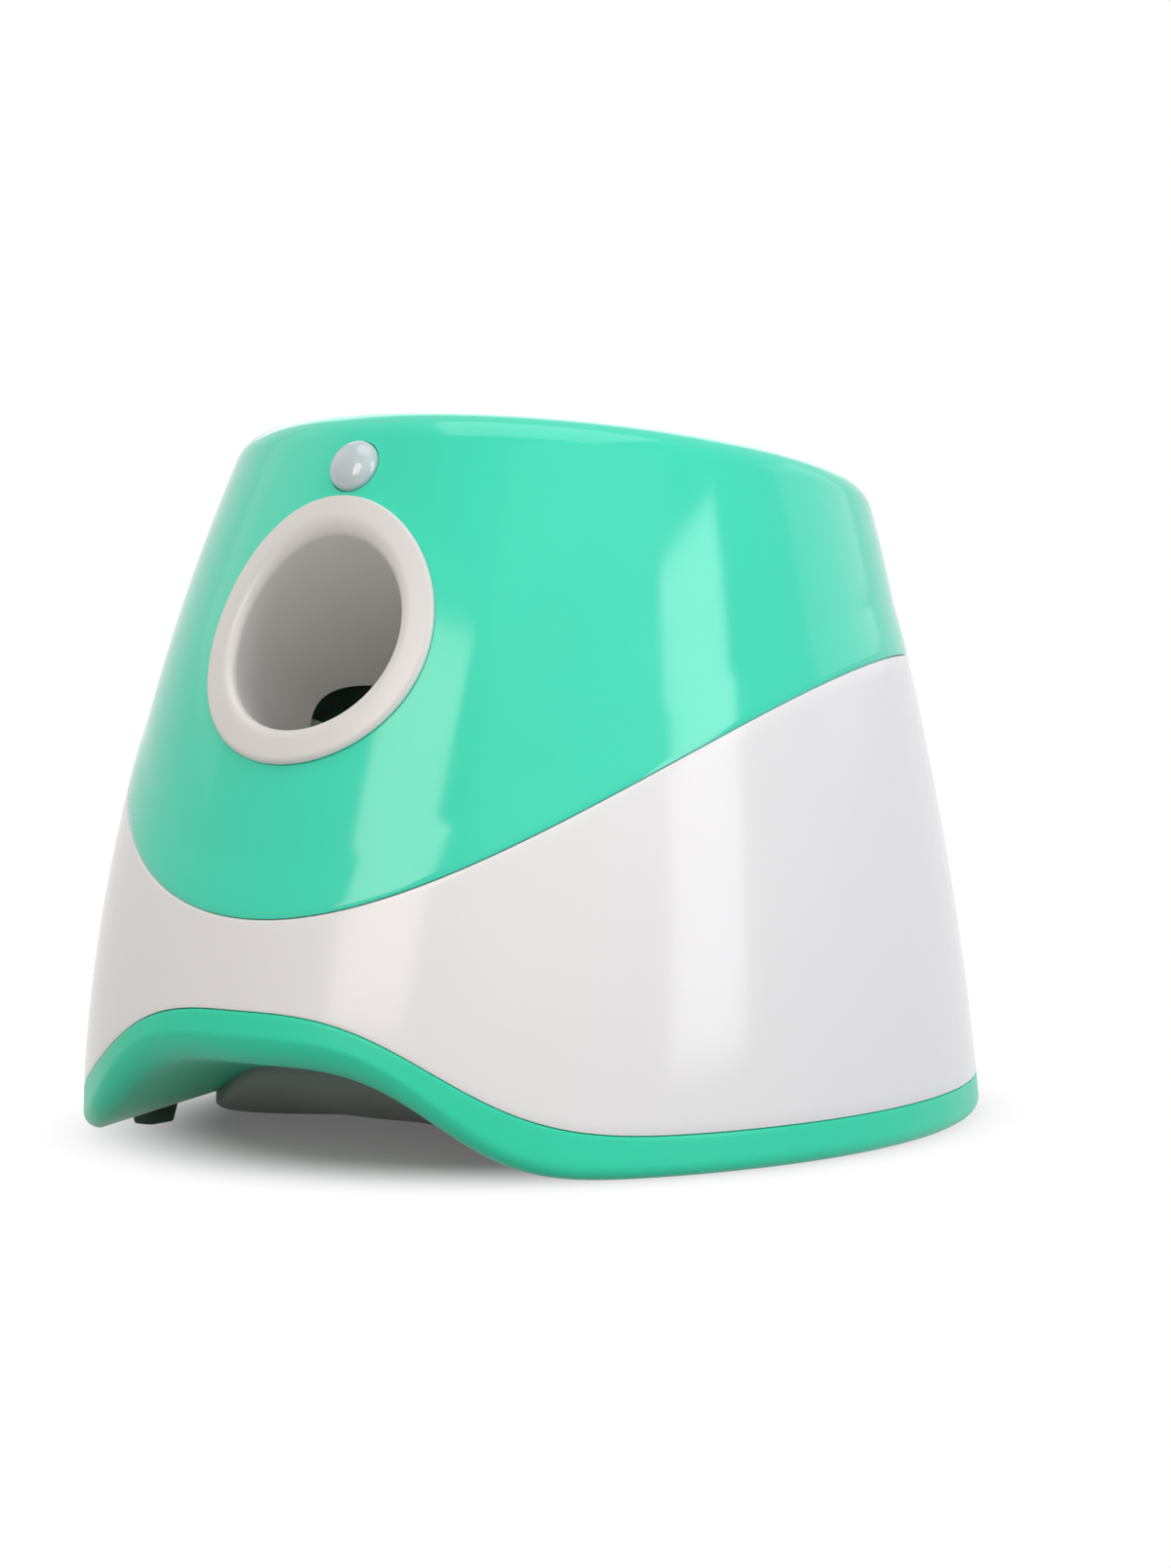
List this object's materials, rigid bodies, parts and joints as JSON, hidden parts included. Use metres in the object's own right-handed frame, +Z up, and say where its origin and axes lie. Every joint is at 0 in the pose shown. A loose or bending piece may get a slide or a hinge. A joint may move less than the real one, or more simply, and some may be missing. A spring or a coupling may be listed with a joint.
{
  "type": "automatic dog ball launcher",
  "caption": "Oval two-tone housing with an open ball hopper on top, a slanted launch mouth in front, throwing wheels and a feed arm inside, and an arched base.",
  "frame": {"origin": "middle of the bounding box's underside, on the floor", "axes": "+Z up, the mouth looks along -Y, +X is the right-hand side seen from in front of the mouth"},
  "size_m": [0.2778, 0.3184, 0.2279],
  "materials": {
    "shell_green": "high-gloss moulded ABS, mint green",
    "base_green": "satin moulded ABS, mint green",
    "shell_white": "high-gloss moulded ABS, white",
    "ring_white": "satin moulded ABS, warm white",
    "chamber_green": "moulded ABS, green",
    "base_grey": "moulded ABS with a fine grain, grey",
    "tyre_grey": "soft moulded elastomer, pale grey",
    "rubber_green": "moulded rubber, dark green",
    "hub_white": "moulded acetal, natural",
    "plastic_black": "moulded ABS, black",
    "steel": "zinc-plated steel",
    "nickel": "nickel-plated steel",
    "board_green": "glass-fibre circuit board",
    "lens_white": "moulded polyethylene lens",
    "button_grey": "moulded silicone-coated ABS, grey",
    "light_clear": "clear polycarbonate",
    "cell_jacket": "printed sleeve over a steel cell, left plain"
  },
  "bodies": {
    "root": {"base_skirt": "base_green", "battery_box": "plastic_black", "battery_door": "base_grey", "button_board": "board_green", "button_switch": "plastic_black", "case_screw_1": "steel", "case_screw_2": "steel", "case_screw_3": "steel", "case_screw_4": "steel", "cell_1": "cell_jacket", "cell_2": "cell_jacket", "cell_3": "cell_jacket", "cell_4": "cell_jacket", "cell_5": "cell_jacket", "cell_6": "cell_jacket", "contact_left": "nickel", "contact_right": "nickel", "door_screw_1": "steel", "door_screw_2": "steel", "feed_bracket": "steel", "feed_gearmotor": "plastic_black", "feed_pivot_pin": "steel", "floor_pan": "base_grey", "foot_front_left": "rubber_green", "foot_front_right": "rubber_green", "foot_rear_left": "rubber_green", "foot_rear_right": "rubber_green", "hopper_bowl": "shell_white", "inlet_nut": "nickel", "launch_chamber": "chamber_green", "launch_motor_left": "nickel", "launch_motor_right": "nickel", "launch_tube": "ring_white", "light_pipe_1": "light_clear", "light_pipe_2": "light_clear", "light_pipe_3": "light_clear", "lower_shell": "shell_white", "main_board": "board_green", "motion_board": "board_green", "motion_lens": "lens_white", "motor_bracket_left": "steel", "motor_bracket_right": "steel", "power_inlet": "plastic_black", "sensor_pin": "steel", "sensor_switch": "plastic_black", "sounder": "plastic_black", "upper_shell": "shell_green"},
    "wheel_left": {"wheel_hub_left": "hub_white", "wheel_tyre_left": "tyre_grey", "wheel_shaft_left": "steel"},
    "wheel_right": {"wheel_hub_right": "hub_white", "wheel_tyre_right": "tyre_grey", "wheel_shaft_right": "steel"},
    "arm": {"feed_arm": "hub_white", "sector_gear": "hub_white"},
    "pinion": {"feed_pinion": "hub_white"},
    "lever": {"sensor_lever": "plastic_black"},
    "button": {"push_button": "button_grey"}
  },
  "joints": [
    {"name": "wheel_left_spin", "type": "hinge", "parent": "root", "child": "wheel_left", "pos_m": [-0.0465, -0.06517, 0.11382], "axis": [0, 0.6428, 0.766], "continuous": true},
    {"name": "wheel_right_spin", "type": "hinge", "parent": "root", "child": "wheel_right", "pos_m": [0.0465, -0.06517, 0.11382], "axis": [0, 0.6428, 0.766], "continuous": true},
    {"name": "feed_arm_swing", "type": "hinge", "parent": "root", "child": "arm", "pos_m": [0, -0.03089, 0.02632], "axis": [1, 0, 0], "range_deg": [0, 50]},
    {"name": "feed_pinion_spin", "type": "hinge", "parent": "root", "child": "pinion", "pos_m": [0, -0.05249, 0.02632], "axis": [1, 0, 0], "range_deg": [-143, 0]},
    {"name": "sensor_lever_tip", "type": "hinge", "parent": "root", "child": "lever", "pos_m": [0.036, -0.0171, 0.0885], "axis": [0, -0.766, 0.6428], "range_deg": [0, 17], "stiffness_Nm_per_rad": 0.01},
    {"name": "button_press", "type": "slide", "parent": "root", "child": "button", "axis": [0, -0.9658, -0.2594], "range_m": [0, 0.0012], "stiffness_N_per_m": 600}
  ],
  "couplings": [
    {"joint": "feed_pinion_spin", "follows": "feed_arm_swing", "ratio": -2.8571}
  ]
}
